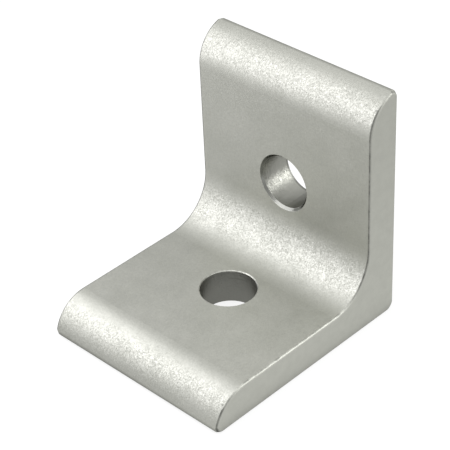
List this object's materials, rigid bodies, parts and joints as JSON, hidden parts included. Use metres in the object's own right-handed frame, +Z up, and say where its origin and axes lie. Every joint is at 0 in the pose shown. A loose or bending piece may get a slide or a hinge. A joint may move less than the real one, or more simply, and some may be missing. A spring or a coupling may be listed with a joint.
{
  "type": "t slot corner bracket",
  "caption": "L-shaped inside corner bracket for slotted framing, cut from extrusion, with rounded leg tips, a filleted inside corner and a plain bolt hole in each leg.",
  "frame": {"origin": "centre of the base's bolt hole, on the base's mounting face", "axes": "+Z up the upright and out of the base's hole, +Y towards the upright's mounting face, X along the extrusion"},
  "size_m": [0.035, 0.04, 0.04],
  "materials": {
    "anodised_aluminium": "blasted satin, clear anodised"
  },
  "bodies": {
    "root": {"corner_bracket": "anodised_aluminium"}
  },
  "joints": []
}
